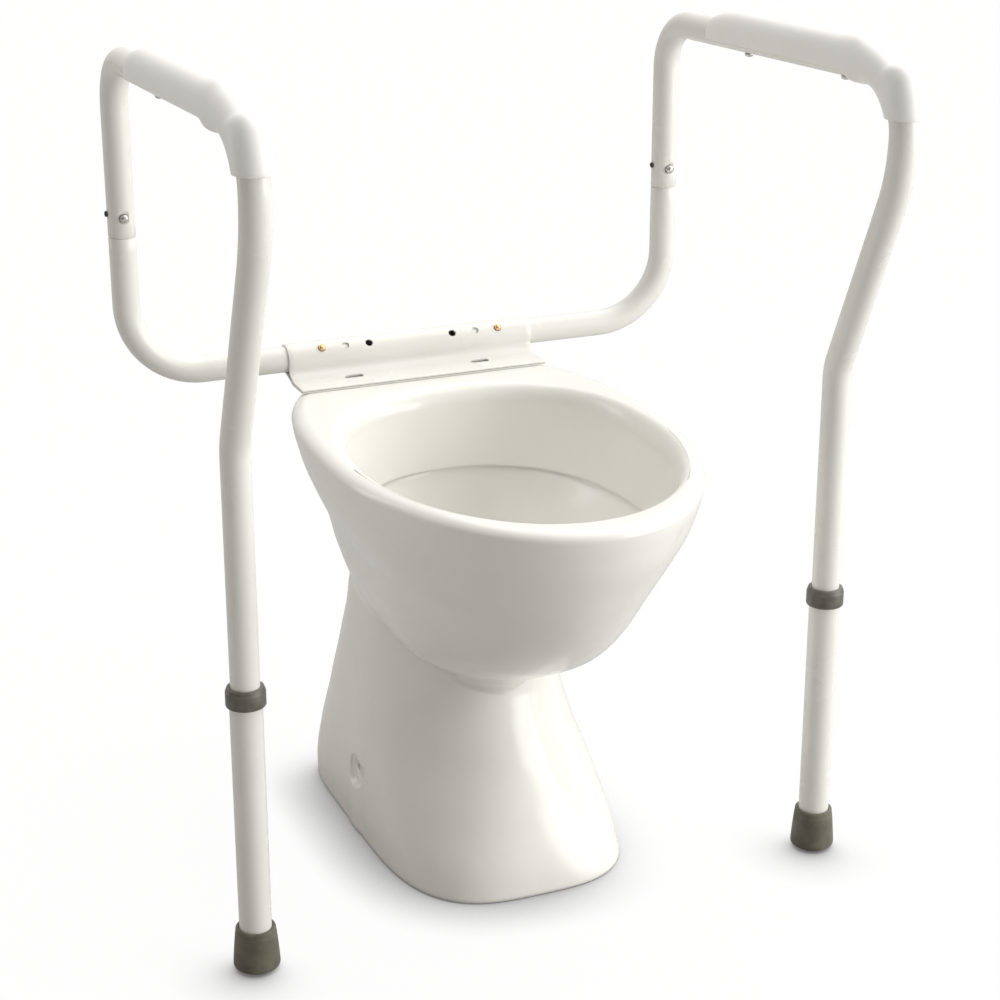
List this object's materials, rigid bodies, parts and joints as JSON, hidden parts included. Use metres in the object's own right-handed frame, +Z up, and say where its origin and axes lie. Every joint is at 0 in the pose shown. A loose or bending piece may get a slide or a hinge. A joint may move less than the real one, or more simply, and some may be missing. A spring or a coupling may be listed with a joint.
{
  "type": "toilet support frame on a toilet pan",
  "caption": "White tubular toilet safety rails with padded arms and telescopic rubber-footed legs, bolted by a rolled sheet bracket to a glazed ceramic pan.",
  "frame": {"origin": "centre of the bounding box on the floor, with x = 0 the symmetry plane of pan and frame", "axes": "+X to the right of someone facing the front of the pan (left and right in names are seen from there), -Y to the front of the pan, +Z up"},
  "size_m": [0.5906, 0.486, 0.7665],
  "materials": {
    "glazed_ceramic": "gloss glaze",
    "white_powder_coat": "satin powder coat over steel",
    "white_plastic": "satin moulded",
    "grey_plastic": "fine moulded grain",
    "grey_rubber": "matt",
    "steel": "zinc plated",
    "dark_steel": "black oxide",
    "brass": "satin"
  },
  "bodies": {
    "pan": {"pan_rim": "glazed_ceramic", "pan_bowl": "glazed_ceramic", "pan_neck": "glazed_ceramic", "pan_base": "glazed_ceramic", "mounting_bracket": "white_powder_coat"},
    "left_rail": {"left_back_rail": "white_powder_coat"},
    "left_width_key": {"left_width_button": "brass"},
    "left_upright_key": {"left_upright_button": "steel"},
    "left_arm": {"left_arm_tube": "white_powder_coat", "left_side_screw": "dark_steel", "left_arm_grip": "white_plastic", "left_grip_screw_rear": "steel", "left_grip_screw_front": "steel"},
    "left_leg": {"left_leg_tube": "white_powder_coat", "left_leg_collar": "grey_plastic", "left_foot_tip": "grey_rubber", "left_foot_washer": "steel"},
    "left_leg_key": {"left_leg_button": "steel"},
    "right_rail": {"right_back_rail": "white_powder_coat"},
    "right_width_key": {"right_width_button": "brass"},
    "right_upright_key": {"right_upright_button": "steel"},
    "right_arm": {"right_arm_tube": "white_powder_coat", "right_side_screw": "dark_steel", "right_arm_grip": "white_plastic", "right_grip_screw_rear": "steel", "right_grip_screw_front": "steel"},
    "right_leg": {"right_leg_tube": "white_powder_coat", "right_leg_collar": "grey_plastic", "right_foot_tip": "grey_rubber", "right_foot_washer": "steel"},
    "right_leg_key": {"right_leg_button": "steel"}
  },
  "joints": [
    {"name": "left_rail_slide", "type": "slide", "parent": "pan", "child": "left_rail", "axis": [1, 0, 0], "range_m": [0, 0.048]},
    {"name": "left_width_press", "type": "slide", "parent": "left_rail", "child": "left_width_key", "axis": [0, 0.7071, -0.7071], "range_m": [0, 0.004], "stiffness_N_per_m": 900, "deforming": ["left_width_button"]},
    {"name": "left_arm_lift", "type": "slide", "parent": "left_rail", "child": "left_arm", "axis": [0, 0, 1], "range_m": [0, 0.055]},
    {"name": "left_upright_press", "type": "slide", "parent": "left_rail", "child": "left_upright_key", "axis": [0, 1, 0], "range_m": [0, 0.004], "stiffness_N_per_m": 900, "deforming": ["left_upright_button"]},
    {"name": "left_leg_slide", "type": "slide", "parent": "left_arm", "child": "left_leg", "axis": [0, 0, 1], "range_m": [-0.075, 0.05]},
    {"name": "left_leg_press", "type": "slide", "parent": "left_arm", "child": "left_leg_key", "axis": [0, -1, 0], "range_m": [0, 0.004], "stiffness_N_per_m": 900, "deforming": ["left_leg_button"]},
    {"name": "right_rail_slide", "type": "slide", "parent": "pan", "child": "right_rail", "axis": [-1, 0, 0], "range_m": [0, 0.048]},
    {"name": "right_width_press", "type": "slide", "parent": "right_rail", "child": "right_width_key", "axis": [0, 0.7071, -0.7071], "range_m": [0, 0.004], "stiffness_N_per_m": 900, "deforming": ["right_width_button"]},
    {"name": "right_arm_lift", "type": "slide", "parent": "right_rail", "child": "right_arm", "axis": [0, 0, 1], "range_m": [0, 0.055]},
    {"name": "right_upright_press", "type": "slide", "parent": "right_rail", "child": "right_upright_key", "axis": [0, 1, 0], "range_m": [0, 0.004], "stiffness_N_per_m": 900, "deforming": ["right_upright_button"]},
    {"name": "right_leg_slide", "type": "slide", "parent": "right_arm", "child": "right_leg", "axis": [0, 0, 1], "range_m": [-0.075, 0.05]},
    {"name": "right_leg_press", "type": "slide", "parent": "right_arm", "child": "right_leg_key", "axis": [0, -1, 0], "range_m": [0, 0.004], "stiffness_N_per_m": 900, "deforming": ["right_leg_button"]}
  ]
}
